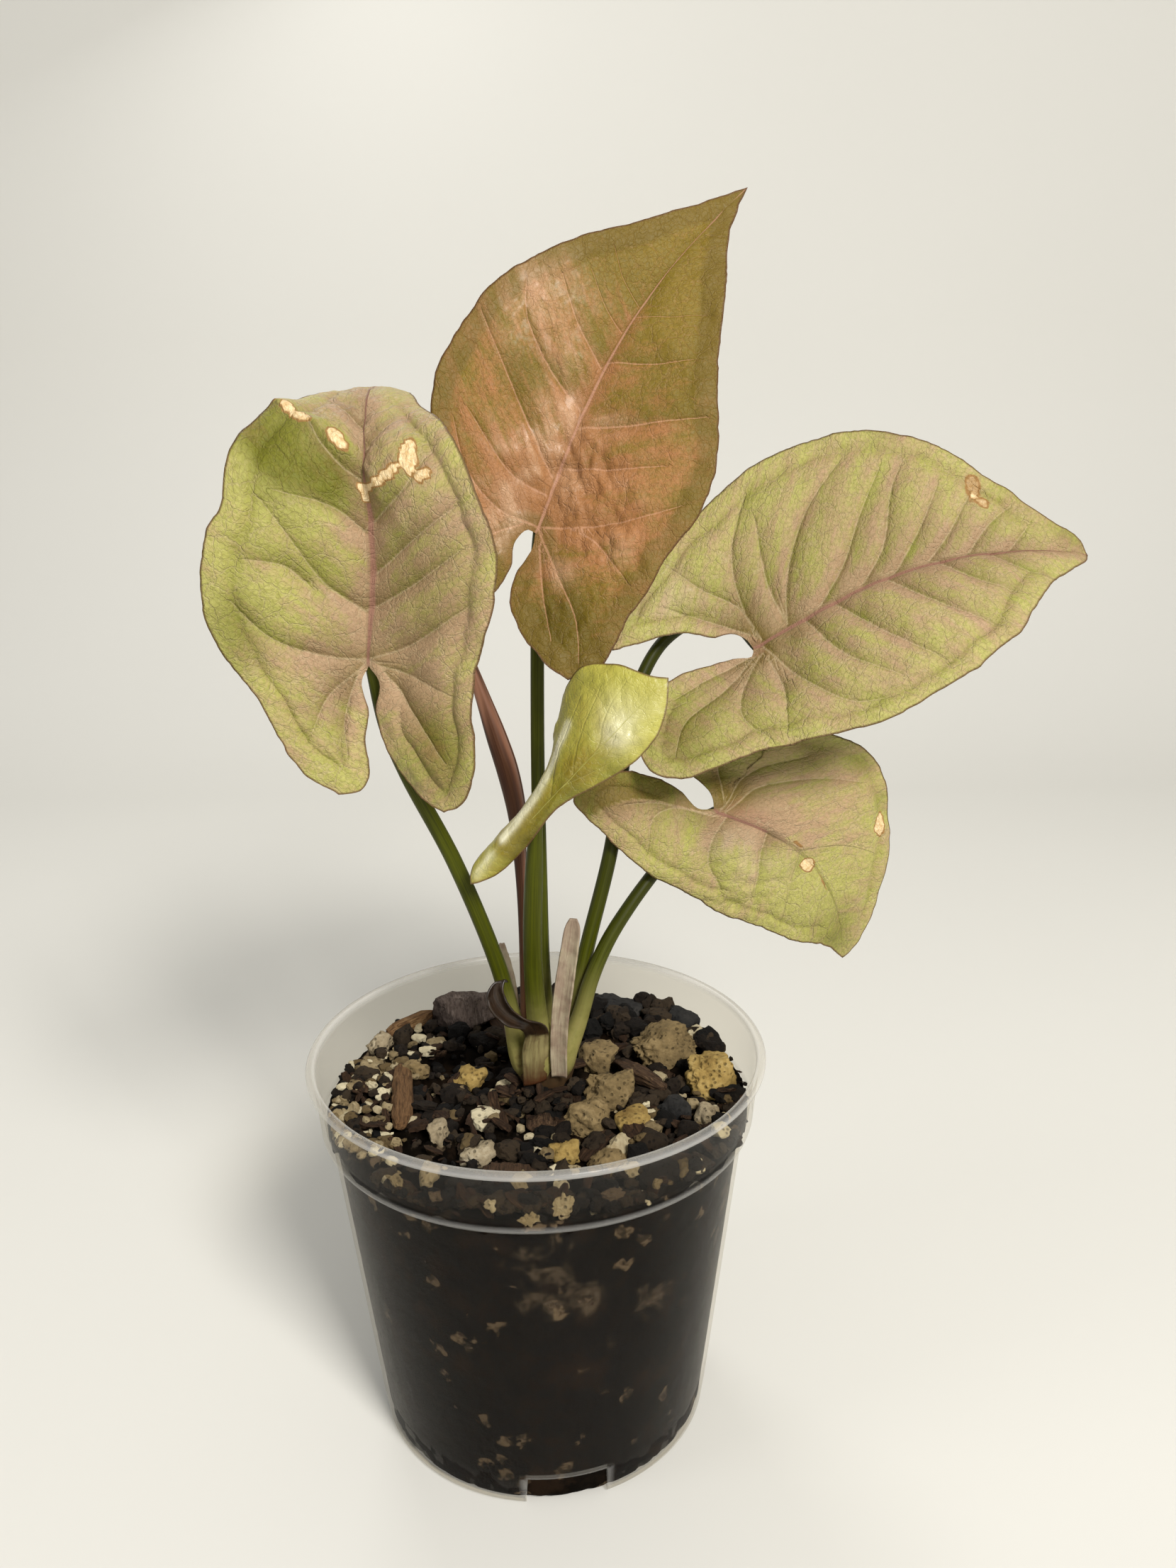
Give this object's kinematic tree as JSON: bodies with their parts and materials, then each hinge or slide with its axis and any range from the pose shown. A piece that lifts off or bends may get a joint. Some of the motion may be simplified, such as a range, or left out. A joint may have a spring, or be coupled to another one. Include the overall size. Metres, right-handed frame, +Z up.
{
  "type": "potted arrowhead plant",
  "caption": "Young arrowhead plant with arrow-shaped pink-green leaves on long stalks, growing in chunky potting mix in a clear nursery pot.",
  "frame": {"origin": "centre of the pot's flat underside, on the surface that it stands on", "axes": "+Z up, -Y towards the side that the leaves face, +X to the right seen from that side"},
  "size_m": [0.174, 0.1, 0.2635],
  "materials": {
    "clear_plastic": "clear, slightly hazy, with white bright edges",
    "potting_mix": "near-black moist crumbs with pale grit",
    "pumice": "matt, pitted, tan to yellow",
    "charcoal": "matt black, cracked",
    "bark": "matt, fibrous, dark brown",
    "crown": "matt brown-green, ringed",
    "petiole": "satin, smooth, fine lines along its length",
    "bronze_leaf": "glossy, bronze-pink between pink veins",
    "pink_green_leaf": "satin, yellow-green washed with pink, quilted between veins",
    "young_leaf": "glossy, bright yellow-green",
    "rolled_leaf": "satin, pinkish brown",
    "pale_sheath": "thin, papery, cream to pink",
    "dry_sheath": "dry, curled, dark brown"
  },
  "bodies": {
    "root": {"bark_1": "bark", "bark_2": "bark", "bark_3": "bark", "bark_4": "bark", "bark_5": "bark", "bark_6": "bark", "blade_left": "pink_green_leaf", "blade_lower": "pink_green_leaf", "blade_right": "pink_green_leaf", "blade_top": "bronze_leaf", "blade_young": "young_leaf", "charcoal_1": "charcoal", "charcoal_2": "charcoal", "charcoal_3": "charcoal", "crown": "crown", "dried_sheath": "dry_sheath", "petiole_left": "petiole", "petiole_lower": "petiole", "petiole_right": "petiole", "petiole_top": "petiole", "petiole_young": "petiole", "pot": "clear_plastic", "potting_mix": "potting_mix", "pumice_1": "pumice", "pumice_10": "pumice", "pumice_11": "pumice", "pumice_12": "pumice", "pumice_13": "pumice", "pumice_14": "pumice", "pumice_2": "pumice", "pumice_3": "pumice", "pumice_4": "pumice", "pumice_5": "pumice", "pumice_6": "pumice", "pumice_7": "pumice", "pumice_8": "pumice", "pumice_9": "pumice", "sheath_left": "pale_sheath", "sheath_right": "pale_sheath", "spear": "rolled_leaf"}
  },
  "joints": []
}
